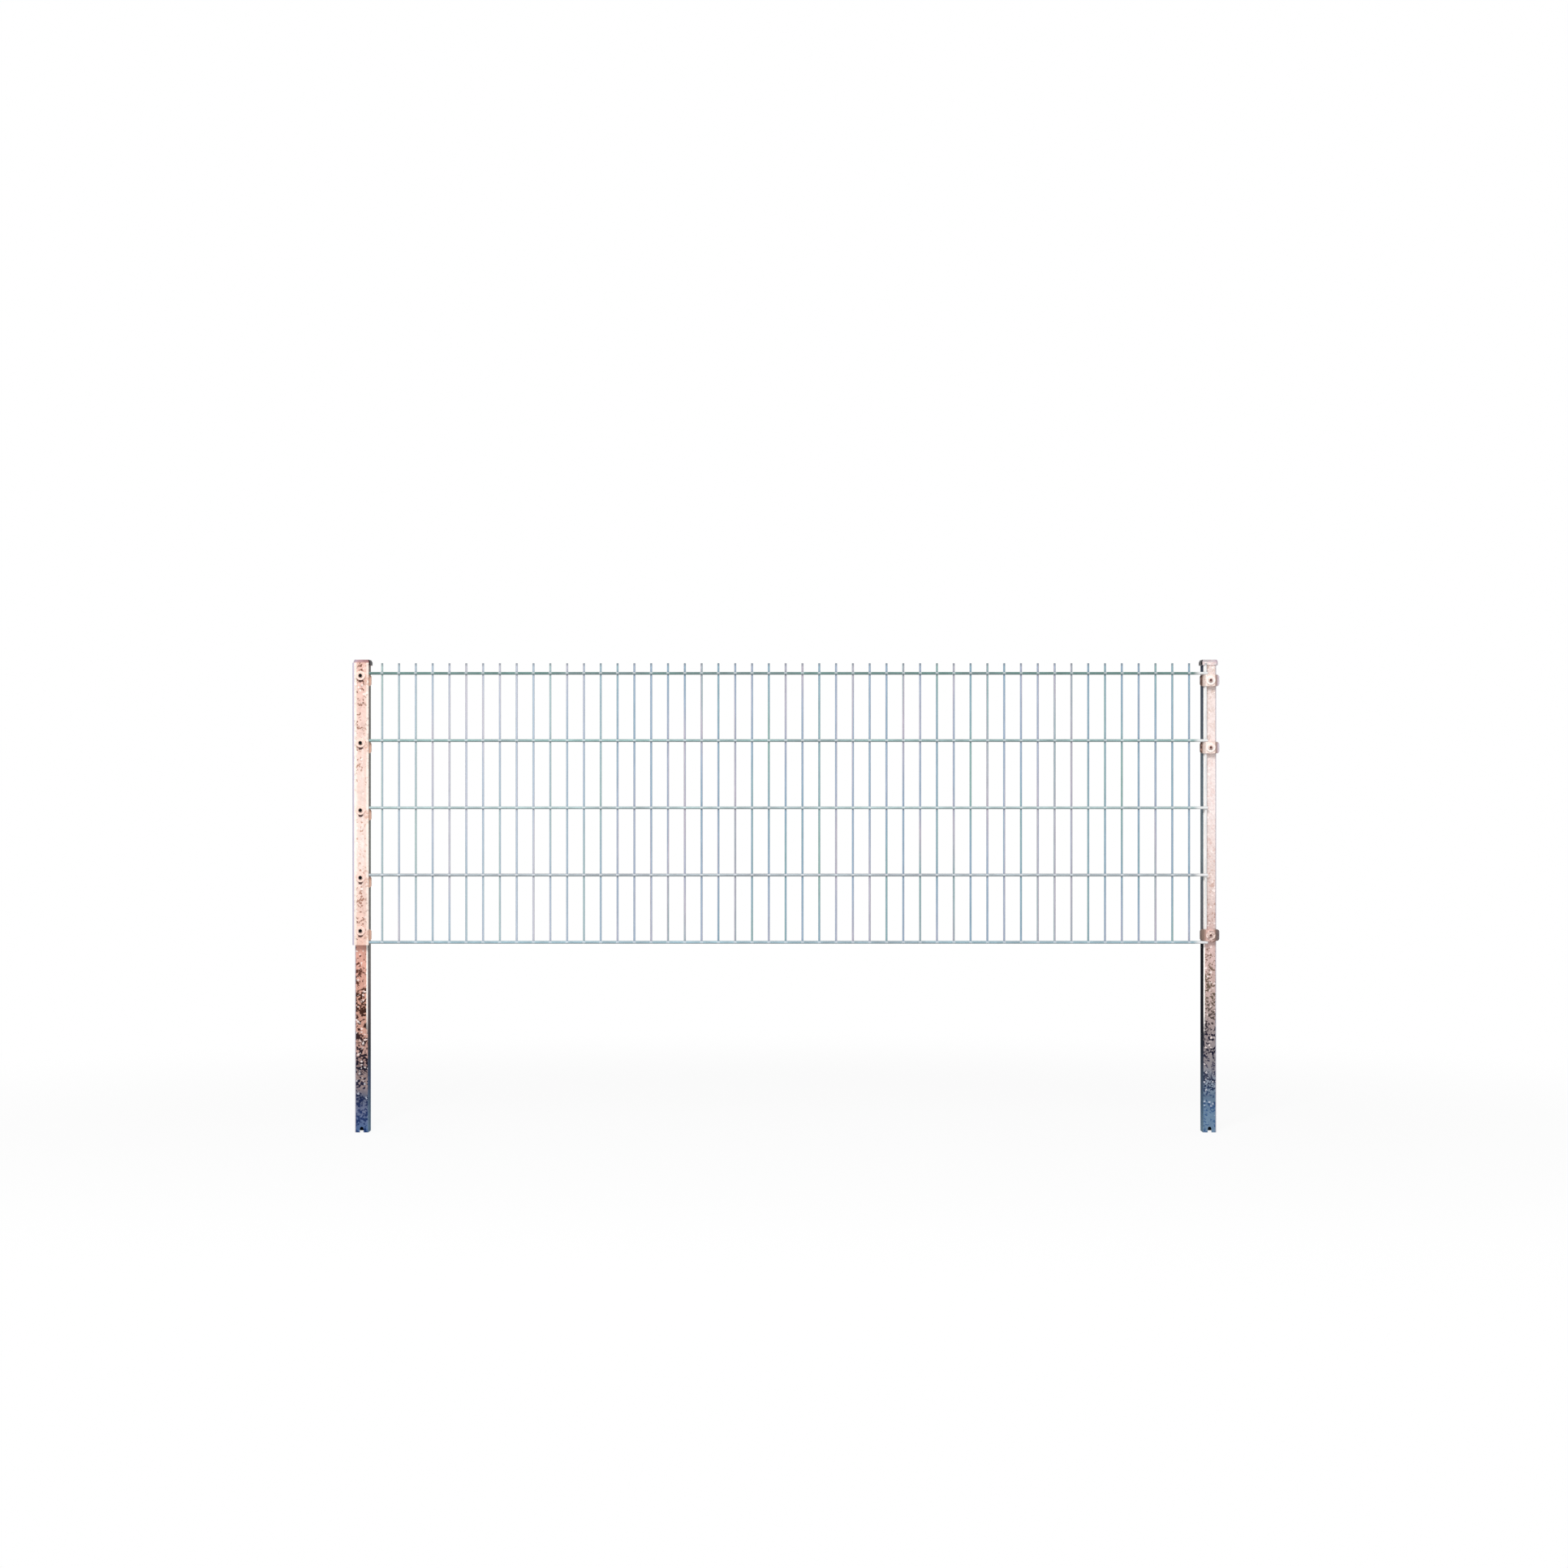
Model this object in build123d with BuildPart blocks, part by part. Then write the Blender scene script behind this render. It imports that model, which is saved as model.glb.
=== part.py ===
from build123d import *
import os

# Double wire mesh fence panel between two posts.
# Millimetres, +Z up, front towards -Y, origin midway between the two post feet.

# Posts: rectangular hollow section, open at the foot
post_width = 40.0
post_depth = 60.0
post_wall = 2.0
post_corner = 4.0
post_length = 1392.0
notch_width = 11.0
notch_height = 17.0

# Wire mesh: uprights welded between doubled horizontal rods
mesh_pitch = 50.0
row_pitch = 200.0
upright_count = 51
row_count = 5
rod_d = 8.0
upright_d = 6.0
weld_setdown = 0.5
rod_overhang = 5.0
top_row_drop = 25.0
tip_overhang = 30.0
wire_edge_break = 0.6
edge_to_post = 12.5
bundle_size = 7

# Bolts with a button head and a hexagon socket, each on a broad washer
bolt_d = 8.0
bolt_head_d = 14.0
bolt_head_h = 4.4
bolt_head_round = 3.2
socket_af = 6.0
socket_depth = 3.2
washer_d = 28.0
washer_t = 3.0
washer_edge_round = 0.8
bolt_end_break = 1.0
bolt_protrusion = 2.0
bolt_clearance = 0.4

# Rivet nuts set in the front wall of the posts
nut_body_d = 11.0
nut_flange_d = 13.0
nut_flange_t = 1.0
nut_bulge_d = 14.0
nut_bulge_t = 4.0
nut_length = 17.0
nut_recess_clearance = 0.3

# Wire saddles and wire clamps, cast with an ear that straddles the side of the post
grip_height = 34.0
ear_reach = 9.0
ear_lip = 5.0
ear_shoulder = 2.5
ear_root = 6.0
ear_corner = 8.0
ear_clearance = 0.3
lip_root_round = 0.5
lip_round = 0.8
ear_tip_round = 3.0
ear_shoulder_round = 2.0
ear_root_round = 5.0
crest_round = 2.5
outline_spare = 2.0
groove_clearance = 0.2
shoulder_run = 8.5
crest_half = 13.5
crest_rise = 1.0
boss_d = 30.0
boss_root = 3.0
boss_t = 1.0
saddle_inset = 2.0
saddle_hole_drop = 3.0
saddle_crown = 7.0
crown_corner = 3.0
rod_end_clearance = 0.3
clamp_rows = (0, 1, row_count - 1)

# Cover bar over the wire ends on the left post
bar_width = 48.0
bar_thickness = 5.0
bar_gap = 0.2
bar_over_tips = 1.0
bar_foot = 8.0
bar_edge_round = 2.0

# Post caps: bevelled lid with a rim, and a hollow ribbed plug
cap_rim = 5.0
cap_rim_height = 9.0
cap_bevel_height = 7.0
cap_bevel_angle = 25.0
cap_edge_round = 1.0
plug_length = 20.0
plug_wall = 2.0
plug_clearance = 0.4
plug_rib = 2.0

# Places in plan, from the post face forwards
edge_x = (upright_count - 1) / 2 * mesh_pitch
post_x = edge_x + edge_to_post
rod_length = 2 * (edge_x + rod_overhang)
weld_step = (rod_d + upright_d) / 2 - weld_setdown
face_y = -post_depth / 2
rear_y = face_y - rod_d / 2
upright_y = rear_y - weld_step
front_y = upright_y - weld_step
bundle_y = front_y - rod_d / 2
bar_back_y = bundle_y - bar_gap
bar_front_y = bar_back_y - bar_thickness
bar_seat_y = bar_front_y - washer_t
crest_y = bundle_y - crest_rise
boss_y = crest_y - boss_t
clamp_seat_y = boss_y - washer_t
saddle_depth = face_y - bar_back_y
crest_depth = face_y - crest_y

# Heights of the rods, the uprights and the bar
top_row_z = post_length - top_row_drop
row_heights = [top_row_z - row * row_pitch for row in range(row_count)]
foot_row_z = row_heights[-1]
upright_low = foot_row_z - rod_d / 2
tip_z = top_row_z + tip_overhang
bar_low = foot_row_z - bar_foot
bar_high = tip_z + bar_over_tips


# Saddles and clamps hang under their rods, and stand on the lowest ones
def grip_top(row):
    if row == row_count - 1:
        return row_heights[row] + rod_d / 2 + grip_height
    return row_heights[row] - rod_d / 2


saddle_heights = [grip_top(row) - saddle_hole_drop for row in range(row_count)]
clamp_heights = [grip_top(row) - grip_height / 2 for row in clamp_rows]
saddle_places = [(-post_x, 0, z) for z in saddle_heights]
clamp_places = [(post_x, 0, z) for z in clamp_heights]


# A plane facing forwards, with its origin at the given distance in front of the post centre
def front_plane(y):
    return Plane.XZ.offset(-y)


# Copies of one piece at several places
def copies(piece, places):
    with BuildPart() as group:
        with Locations(*places):
            add(piece)
    return group.part


os.makedirs("parts", exist_ok=True)


def save(piece, name):
    piece.label = name
    export_step(piece, f"parts/{name}.step")


# Post tube with rivet nut holes and a drain notch in its front wall
def post(centre_x, nut_heights):
    with BuildPart() as tube:
        with BuildSketch(Plane.XY):
            with Locations((centre_x, 0)):
                RectangleRounded(post_width, post_depth, post_corner)
                RectangleRounded(
                    post_width - 2 * post_wall,
                    post_depth - 2 * post_wall,
                    post_corner - post_wall,
                    mode=Mode.SUBTRACT,
                )
        extrude(amount=post_length)
        with BuildSketch(front_plane(face_y)):
            with Locations(*[(centre_x, z) for z in nut_heights]):
                Circle(nut_body_d / 2)
            with Locations((centre_x, notch_height - notch_width / 2)):
                Circle(notch_width / 2)
            with Locations((centre_x, 0)):
                Rectangle(
                    notch_width,
                    notch_height - notch_width / 2,
                    align=(Align.CENTER, Align.MIN),
                )
        extrude(amount=-post_depth / 2, mode=Mode.SUBTRACT)
    return tube.part


save(post(-post_x, saddle_heights), "left_post")
save(post(post_x, clamp_heights), "right_post")


# Cap: a rim and a bevel on the tube end, with a plug whose ribs grip the tube wall
def post_cap(centre_x):
    inner_width = post_width - 2 * post_wall
    inner_depth = post_depth - 2 * post_wall
    plug_width = inner_width - 2 * plug_clearance
    plug_depth = inner_depth - 2 * plug_clearance
    with BuildPart() as cap:
        with BuildSketch(Plane.XY.offset(post_length)):
            with Locations((centre_x, 0)):
                RectangleRounded(
                    post_width + 2 * cap_rim,
                    post_depth + 2 * cap_rim,
                    post_corner + cap_rim,
                )
        extrude(amount=cap_rim_height)
        rim_top = cap.faces().sort_by(Axis.Z)[-1]
        extrude(rim_top, amount=cap_bevel_height, taper=cap_bevel_angle)
        fillet(cap.edges().group_by(Axis.Z)[-1], radius=cap_edge_round)
        with BuildSketch(Plane.XY.offset(post_length)):
            with Locations((centre_x, 0)):
                RectangleRounded(plug_width, plug_depth, post_corner - post_wall)
                with GridLocations(plug_width / 2, plug_depth, 2, 2):
                    Rectangle(plug_rib, 2 * plug_clearance)
                with GridLocations(plug_width, plug_depth / 2, 2, 2):
                    Rectangle(2 * plug_clearance, plug_rib)
                Rectangle(
                    plug_width - 2 * plug_wall,
                    plug_depth - 2 * plug_wall,
                    mode=Mode.SUBTRACT,
                )
        extrude(amount=-plug_length)
    return cap.part


save(post_cap(-post_x), "left_post_cap")
save(post_cap(post_x), "right_post_cap")


# Horizontal rod, one of each doubled pair
def rod(y, z):
    with BuildPart() as wire:
        with BuildSketch(Plane.YZ.offset(-rod_length / 2)):
            with Locations((y, z)):
                Circle(rod_d / 2)
        extrude(amount=rod_length)
        chamfer(wire.edges().filter_by(GeomType.CIRCLE), length=wire_edge_break)
    return wire.part


for row, height in enumerate(row_heights, start=1):
    save(rod(front_y, height), f"front_wire_{row}")
    save(rod(rear_y, height), f"rear_wire_{row}")

# Upright wire, set down into the rods that it is welded between
with BuildPart() as upright:
    with BuildSketch(Plane.XY.offset(upright_low)):
        with Locations((0, upright_y)):
            Circle(upright_d / 2)
    extrude(amount=tip_z - upright_low)
    chamfer(upright.edges().filter_by(GeomType.CIRCLE), length=wire_edge_break)
    with BuildSketch(Plane.YZ):
        with Locations(*[(y, z) for y in (rear_y, front_y) for z in row_heights]):
            Circle(rod_d / 2)
    extrude(amount=upright_d, both=True, mode=Mode.SUBTRACT)

upright_places = [(index * mesh_pitch - edge_x, 0, 0) for index in range(upright_count)]
save(copies(upright.part, upright_places[:1]), "left_edge_wire")
save(copies(upright.part, upright_places[-1:]), "right_edge_wire")
infill_places = upright_places[1:-1]
for bundle, first in enumerate(range(0, len(infill_places), bundle_size), start=1):
    places = infill_places[first:first + bundle_size]
    save(copies(upright.part, places), f"infill_wires_{bundle}")


# Points of a grip's ear in plan, from the lip beside the post to the root of the shoulder
def ear_points(side):
    lip_x = post_width / 2 + ear_clearance
    tip_x = post_width / 2 + ear_reach
    plan = (
        (lip_x, 0),
        (lip_x, -ear_lip),
        (tip_x, -ear_lip),
        (tip_x, ear_shoulder),
        (crest_half + shoulder_run, ear_root),
    )
    return [(side * x, face_y - h) for x, h in plan]


# Corner rounds of those points, in the same order
ear_rounds = [lip_root_round, lip_round, ear_tip_round, ear_shoulder_round, ear_root_round]


# Cuts that a saddle and a clamp share: wire grooves, bolt hole and room for the rivet nut flange
def grip_cuts(hole_z, groove_places):
    with BuildPart() as tool:
        with BuildSketch(Plane.XY.offset(hole_z - grip_height)):
            with Locations(*[(x, upright_y) for x in groove_places]):
                Circle(upright_d / 2 + groove_clearance)
                Rectangle(
                    upright_d + 2 * groove_clearance,
                    face_y - upright_y,
                    align=(Align.CENTER, Align.MIN),
                )
        extrude(amount=2 * grip_height)
        with BuildSketch(front_plane(face_y)):
            with Locations((0, hole_z)):
                Circle(bolt_d / 2 + bolt_clearance)
        extrude(amount=saddle_depth + crest_depth)
        with BuildSketch(front_plane(face_y)):
            with Locations((0, hole_z)):
                Circle(nut_flange_d / 2 + nut_recess_clearance)
        extrude(amount=nut_flange_t + nut_recess_clearance)
    return tool.part


# Saddle between the left post and the bar: one ear under the rods, and a crown beside their ends
def wire_saddle():
    left_x = saddle_inset - post_width / 2
    right_x = post_width / 2 + ear_reach
    crown_x = edge_to_post - rod_overhang - rod_end_clearance
    low = saddle_hole_drop - grip_height
    full_height = grip_height + saddle_crown
    back_plan = [(left_x, face_y)] + ear_points(1)
    crest_plan = [(crest_half, bar_back_y), (left_x, bar_back_y)]
    with BuildPart() as saddle:
        with BuildSketch(Plane.XY.offset(low - outline_spare)):
            with BuildLine():
                FilletPolyline(
                    back_plan + crest_plan,
                    radius=[lip_root_round] + ear_rounds + [crest_round, lip_root_round],
                    close=True,
                )
            make_face()
        extrude(amount=full_height + 2 * outline_spare)
        with BuildSketch(front_plane(face_y + ear_lip + outline_spare)):
            with Locations(((left_x + right_x) / 2, low + grip_height / 2)):
                RectangleRounded(right_x - left_x, grip_height, ear_corner)
            with Locations(((left_x + crown_x) / 2, low + full_height / 2)):
                RectangleRounded(crown_x - left_x, full_height, crown_corner)
        extrude(amount=ear_lip + saddle_depth + 2 * outline_spare, mode=Mode.INTERSECT)
        add(grip_cuts(0, [edge_to_post]), mode=Mode.SUBTRACT)
    return saddle.part


saddle = wire_saddle()
for row, place in enumerate(saddle_places, start=1):
    save(copies(saddle, [place]), f"wire_saddle_{row}")


# Clamp on the right post: an ear on each side, and a round boss under the washer
def wire_clamp():
    right_plan = ear_points(1) + [(crest_half, crest_y)]
    left_plan = [(-crest_half, crest_y)] + ear_points(-1)[::-1]
    side_rounds = ear_rounds + [crest_round]
    width = post_width + 2 * ear_reach
    with BuildPart() as clamp:
        with BuildSketch(Plane.XY.offset(-grip_height / 2 - outline_spare)):
            with BuildLine():
                FilletPolyline(
                    right_plan + left_plan,
                    radius=side_rounds + side_rounds[::-1],
                    close=True,
                )
            make_face()
        extrude(amount=grip_height + 2 * outline_spare)
        with BuildSketch(front_plane(face_y + ear_lip + outline_spare)):
            RectangleRounded(width, grip_height, ear_corner)
        extrude(amount=ear_lip + crest_depth + 2 * outline_spare, mode=Mode.INTERSECT)
        with BuildSketch(front_plane(crest_y + boss_root)):
            Circle(boss_d / 2)
        extrude(amount=boss_root + boss_t)
        add(grip_cuts(0, [-edge_to_post, edge_to_post]), mode=Mode.SUBTRACT)
    return clamp.part


clamp = wire_clamp()
for number, place in enumerate(clamp_places, start=1):
    save(copies(clamp, [place]), f"wire_clamp_{number}")

# Cover bar on the saddles
with BuildPart() as cover_bar:
    with BuildSketch(front_plane(bar_back_y)):
        with Locations((-post_x, bar_low)):
            Rectangle(bar_width, bar_high - bar_low, align=(Align.CENTER, Align.MIN))
        with Locations(*[(-post_x, z) for z in saddle_heights]):
            Circle(bolt_d / 2 + bolt_clearance, mode=Mode.SUBTRACT)
    extrude(amount=bar_thickness)
    front_edges = cover_bar.edges().filter_by(Axis.Z).group_by(Axis.Y)[0]
    fillet(front_edges, radius=bar_edge_round)
save(cover_bar.part, "cover_bar")


# Bolt whose head seats at the given place in front of the post and whose end passes the rivet nut
def bolt(seat_y):
    reach = face_y - seat_y + nut_length + bolt_protrusion
    with BuildPart() as screw:
        with BuildSketch(front_plane(seat_y)):
            Circle(bolt_d / 2)
        extrude(amount=-reach)
        chamfer(screw.edges().group_by(Axis.Y)[-1], length=bolt_end_break)
        with BuildSketch(front_plane(seat_y)):
            Circle(bolt_head_d / 2)
        extrude(amount=bolt_head_h)
        fillet(screw.edges().group_by(Axis.Y)[0], radius=bolt_head_round)
        with BuildSketch(front_plane(seat_y - bolt_head_h)):
            RegularPolygon(socket_af / 2, side_count=6, major_radius=False)
        extrude(amount=-socket_depth, mode=Mode.SUBTRACT)
    return screw.part


save(copies(bolt(bar_seat_y), saddle_places), "bar_bolts")
save(copies(bolt(clamp_seat_y), clamp_places), "clamp_bolts")


# Washer in front of the given seat, with its front edge rounded
def washer(seat_y):
    with BuildPart() as ring:
        with BuildSketch(front_plane(seat_y)):
            Circle(washer_d / 2)
        extrude(amount=washer_t)
        fillet(ring.edges().group_by(Axis.Y)[0], radius=washer_edge_round)
        with BuildSketch(front_plane(seat_y)):
            Circle(bolt_d / 2 + bolt_clearance)
        extrude(amount=washer_t, mode=Mode.SUBTRACT)
    return ring.part


save(copies(washer(bar_front_y), saddle_places), "bar_washers")
save(copies(washer(boss_y), clamp_places), "clamp_washers")

# Rivet nut: a flange on the post face and a bulge behind the wall
with BuildPart() as rivet_nut:
    with BuildSketch(front_plane(face_y)):
        Circle(nut_flange_d / 2)
    extrude(amount=nut_flange_t)
    with BuildSketch(front_plane(face_y)):
        Circle(nut_body_d / 2)
    extrude(amount=-nut_length)
    with BuildSketch(front_plane(face_y + post_wall)):
        Circle(nut_bulge_d / 2)
    extrude(amount=-nut_bulge_t)
    with BuildSketch(front_plane(face_y - nut_flange_t)):
        Circle(bolt_d / 2)
    extrude(amount=-nut_flange_t - nut_length, mode=Mode.SUBTRACT)
save(copies(rivet_nut.part, saddle_places), "bar_rivet_nuts")
save(copies(rivet_nut.part, clamp_places), "clamp_rivet_nuts")
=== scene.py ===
import math
import random

import bmesh
import bpy
from mathutils import Matrix, Vector


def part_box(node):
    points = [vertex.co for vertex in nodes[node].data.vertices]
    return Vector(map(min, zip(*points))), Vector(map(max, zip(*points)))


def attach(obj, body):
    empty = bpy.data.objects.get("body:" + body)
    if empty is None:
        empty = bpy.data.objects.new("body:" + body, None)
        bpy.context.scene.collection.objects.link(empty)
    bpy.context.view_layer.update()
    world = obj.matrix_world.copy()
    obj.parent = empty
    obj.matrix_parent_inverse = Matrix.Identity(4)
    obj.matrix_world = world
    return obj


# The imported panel, in metres, with its box before anything is added
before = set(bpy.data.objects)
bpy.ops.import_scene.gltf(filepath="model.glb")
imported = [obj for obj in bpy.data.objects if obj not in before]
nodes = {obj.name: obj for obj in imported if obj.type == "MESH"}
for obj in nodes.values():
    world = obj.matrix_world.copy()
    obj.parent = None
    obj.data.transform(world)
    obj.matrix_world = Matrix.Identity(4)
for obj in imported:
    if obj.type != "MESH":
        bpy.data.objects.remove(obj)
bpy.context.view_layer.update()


# Middle of a node's box
def middle(name):
    low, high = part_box(name)
    return (low + high) / 2


# Places that the mesh, the posts and the bolts give
MESH_PITCH = 0.050
ROW_COUNT = 5
CLAMP_COUNT = 3
BOLT_BELOW_SADDLE_TOP = 0.010
FIRST_WIRE_X = middle("left_edge_wire").x
LAST_WIRE_X = middle("right_edge_wire").x
WIRE_COUNT = round((LAST_WIRE_X - FIRST_WIRE_X) / MESH_PITCH) + 1
WIRE_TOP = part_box("left_edge_wire")[1].z
POST_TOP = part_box("left_post")[1].z
POST_HALF = (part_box("left_post")[1].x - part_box("left_post")[0].x) / 2
POST_HALF_DEPTH = (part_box("left_post")[1].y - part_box("left_post")[0].y) / 2
POST_Y = middle("left_post").y
LEFT_X = middle("left_post").x
RIGHT_X = middle("right_post").x
BAR_LOW, BAR_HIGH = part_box("cover_bar")
BAR_BOLTS = [
    (LEFT_X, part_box(f"wire_saddle_{row}")[1].z - BOLT_BELOW_SADDLE_TOP) for row in range(1, ROW_COUNT + 1)
]
CLAMP_BOLTS = [(RIGHT_X, middle(f"wire_clamp_{number}").z) for number in range(1, CLAMP_COUNT + 1)]


# sRGB bytes as linear light
def rgb(red, green, blue):
    def linear(byte):
        share = byte / 255
        return share / 12.92 if share <= 0.04045 else ((share + 0.055) / 1.055) ** 2.4

    return (linear(red), linear(green), linear(blue), 1.0)


def grey(level):
    return (level, level, level, 1.0)


# One material's nodes, with a short call for each kind of node
class Graph:
    def __init__(self, name):
        self.material = bpy.data.materials.new(name)
        self.material.use_nodes = True
        self.tree = self.material.node_tree
        self.tree.nodes.clear()
        self.output = self.add("ShaderNodeOutputMaterial")
        self.place = self.add("ShaderNodeTexCoord").outputs["Object"]
        self.x, self.y, self.z = self.split(self.place)
        normal = self.add("ShaderNodeNewGeometry").outputs["Normal"]
        self.nx, self.ny, self.nz = self.split(normal)

    def add(self, kind, **settings):
        made = self.tree.nodes.new(kind)
        for key, value in settings.items():
            setattr(made, key, value)
        return made

    def feed(self, socket, value):
        if isinstance(value, bpy.types.NodeSocket):
            self.tree.links.new(value, socket)
        else:
            socket.default_value = value

    def split(self, vector):
        made = self.add("ShaderNodeSeparateXYZ")
        self.feed(made.inputs[0], vector)
        return made.outputs

    def math(self, operation, *values):
        made = self.add("ShaderNodeMath", operation=operation)
        for socket, value in zip(made.inputs, values):
            self.feed(socket, value)
        return made.outputs[0]

    # 0 at the first limit and 1 at the second, smooth between; the first may be the larger
    def step(self, value, zero_at, one_at):
        made = self.add("ShaderNodeMapRange", interpolation_type="SMOOTHSTEP")
        self.feed(made.inputs["Value"], value)
        self.feed(made.inputs["From Min"], zero_at)
        self.feed(made.inputs["From Max"], one_at)
        return made.outputs["Result"]

    def both(self, *shares):
        product = shares[0]
        for share in shares[1:]:
            product = self.math("MULTIPLY", product, share)
        return product

    def mix(self, share, first, second, blend="MIX"):
        made = self.add("ShaderNodeMix", data_type="RGBA", blend_type=blend)
        self.feed(made.inputs[0], share)
        self.feed(made.inputs[6], first)
        self.feed(made.inputs[7], second)
        return made.outputs[2]

    # Colours at shares from 0 to 1
    def ramp(self, value, stops):
        made = self.add("ShaderNodeValToRGB")
        elements = made.color_ramp.elements
        while len(elements) < len(stops):
            elements.new(1.0)
        for element, (position, colour) in zip(elements, stops):
            element.position = position
            element.color = colour
        self.feed(made.inputs[0], value)
        return made.outputs[0]

    # Colours at places along X, in metres from a middle and out to a reach on each side
    def across(self, centre_x, reach, stops):
        share = self.math("MULTIPLY_ADD", self.x, 0.5 / reach, 0.5 - 0.5 * centre_x / reach)
        return self.ramp(share, [(0.5 + 0.5 * place / reach, colour) for place, colour in stops])

    # Colour made darker by up to the given share where a value from 0 to 1 is low
    def shaded(self, colour, value, depth, low=0.0, high=1.0):
        shade = self.ramp(value, ((low, grey(1 - depth)), (high, grey(1.0))))
        return self.mix(1.0, colour, shade, "MULTIPLY")

    # Noise from 0 to 1, with features of the given size along X, Y and Z in metres
    def noise(self, size, detail=3.0, shift=0.0):
        made = self.add("ShaderNodeTexNoise")
        self.feed(made.inputs["Vector"], self.scaled(size, shift))
        made.inputs["Scale"].default_value = 1.0
        made.inputs["Detail"].default_value = detail
        return made.outputs[0]

    # Zinc crystals of one length and width that lean to a side: a shade from 0 to 1 for each cell
    def crystals(self, length, width, lean=0.0, shift=0.0):
        ragged = self.noise((width / 2,) * 3, 2.0, shift)
        warped = self.add("ShaderNodeVectorMath", operation="ADD")
        self.feed(warped.inputs[0], self.scaled((length, length, width), shift, lean))
        self.feed(warped.inputs[1], ragged)
        made = self.add("ShaderNodeTexVoronoi")
        self.feed(made.inputs["Vector"], warped.outputs[0])
        made.inputs["Scale"].default_value = 1.0
        return self.split(made.outputs["Color"])[0]

    def scaled(self, size, shift, lean=0.0):
        made = self.add("ShaderNodeMapping", vector_type="TEXTURE")
        self.feed(made.inputs["Vector"], self.place)
        made.inputs["Location"].default_value = (shift, shift, shift)
        made.inputs["Rotation"].default_value = (0.0, lean, 0.0)
        made.inputs["Scale"].default_value = size
        return made.outputs[0]

    # Distance along the front from the nearest of several places
    def nearest(self, places):
        flat = self.add("ShaderNodeCombineXYZ")
        self.feed(flat.inputs["X"], self.x)
        self.feed(flat.inputs["Z"], self.z)
        closest = None
        for x, z in places:
            gap = self.add("ShaderNodeVectorMath", operation="DISTANCE")
            self.feed(gap.inputs[0], flat.outputs[0])
            gap.inputs[1].default_value = (x, 0.0, z)
            distance = gap.outputs["Value"]
            closest = distance if closest is None else self.math("MINIMUM", closest, distance)
        return closest

    # Share of the surface that is hidden close by: crevices, sockets and seats
    def crevice(self, distance):
        made = self.add("ShaderNodeAmbientOcclusion", samples=8)
        made.inputs["Distance"].default_value = distance
        return self.math("SUBTRACT", 1.0, made.outputs["AO"])

    # Surface with its mirror share, which is nought on dull zinc, and its relief
    def finish(self, colour, roughness, metallic, gloss, bump, bump_depth, bump_strength):
        shader = self.add("ShaderNodeBsdfPrincipled")
        shader.inputs["Specular IOR Level"].default_value = gloss
        self.feed(shader.inputs["Base Color"], colour)
        self.feed(shader.inputs["Roughness"], roughness)
        self.feed(shader.inputs["Metallic"], metallic)
        made = self.add("ShaderNodeBump")
        made.inputs["Strength"].default_value = bump_strength
        made.inputs["Distance"].default_value = bump_depth
        self.feed(made.inputs["Height"], bump)
        self.feed(shader.inputs["Normal"], made.outputs[0])
        self.feed(self.output.inputs["Surface"], shader.outputs[0])
        return self.material


# Zinc by height in metres: ground, dark patches, share of patches, share of bright flecks. The ground is a
# painted reflection, warm up high and blue at the foot
LEFT_ZINC = (
    (0.000, rgb(76, 108, 154), rgb(28, 52, 100), 0.34, 0.01),
    (0.062, rgb(112, 120, 148), rgb(42, 56, 96), 0.36, 0.01),
    (0.106, rgb(94, 100, 120), rgb(28, 36, 68), 0.42, 0.04),
    (0.150, rgb(168, 146, 142), rgb(40, 38, 56), 0.44, 0.07),
    (0.192, rgb(130, 110, 110), rgb(26, 24, 38), 0.50, 0.05),
    (0.238, rgb(196, 158, 148), rgb(44, 34, 42), 0.46, 0.05),
    (0.302, rgb(204, 156, 140), rgb(60, 39, 35), 0.42, 0.05),
    (0.390, rgb(210, 160, 142), rgb(68, 42, 33), 0.47, 0.03),
    (0.470, rgb(224, 170, 154), rgb(90, 54, 44), 0.13, 0.04),
    (0.560, rgb(226, 170, 154), rgb(110, 62, 52), 0.06, 0.04),
    (1.392, rgb(226, 190, 178), rgb(130, 90, 78), 0.06, 0.04),
)
RIGHT_ZINC = (
    (0.000, rgb(118, 144, 170), rgb(66, 96, 136), 0.24, 0.01),
    (0.062, rgb(112, 138, 164), rgb(62, 92, 132), 0.26, 0.02),
    (0.106, rgb(106, 126, 148), rgb(44, 66, 102), 0.34, 0.06),
    (0.150, rgb(146, 158, 174), rgb(34, 42, 68), 0.47, 0.07),
    (0.192, rgb(146, 140, 144), rgb(64, 64, 84), 0.26, 0.03),
    (0.238, rgb(152, 143, 146), rgb(26, 26, 46), 0.46, 0.05),
    (0.302, rgb(164, 150, 150), rgb(33, 31, 46), 0.46, 0.05),
    (0.390, rgb(198, 174, 168), rgb(96, 84, 72), 0.46, 0.05),
    (0.470, rgb(213, 184, 178), rgb(112, 94, 80), 0.30, 0.05),
    (0.540, rgb(223, 194, 189), rgb(132, 106, 92), 0.12, 0.05),
    (0.630, rgb(224, 200, 194), rgb(176, 142, 130), 0.14, 0.04),
    (0.730, rgb(234, 214, 208), rgb(204, 174, 164), 0.14, 0.04),
    (0.980, rgb(246, 232, 229), rgb(230, 208, 204), 0.16, 0.04),
    (1.180, rgb(244, 228, 224), rgb(224, 204, 198), 0.16, 0.04),
    (1.392, rgb(238, 222, 217), rgb(208, 188, 178), 0.16, 0.04),
)
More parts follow.
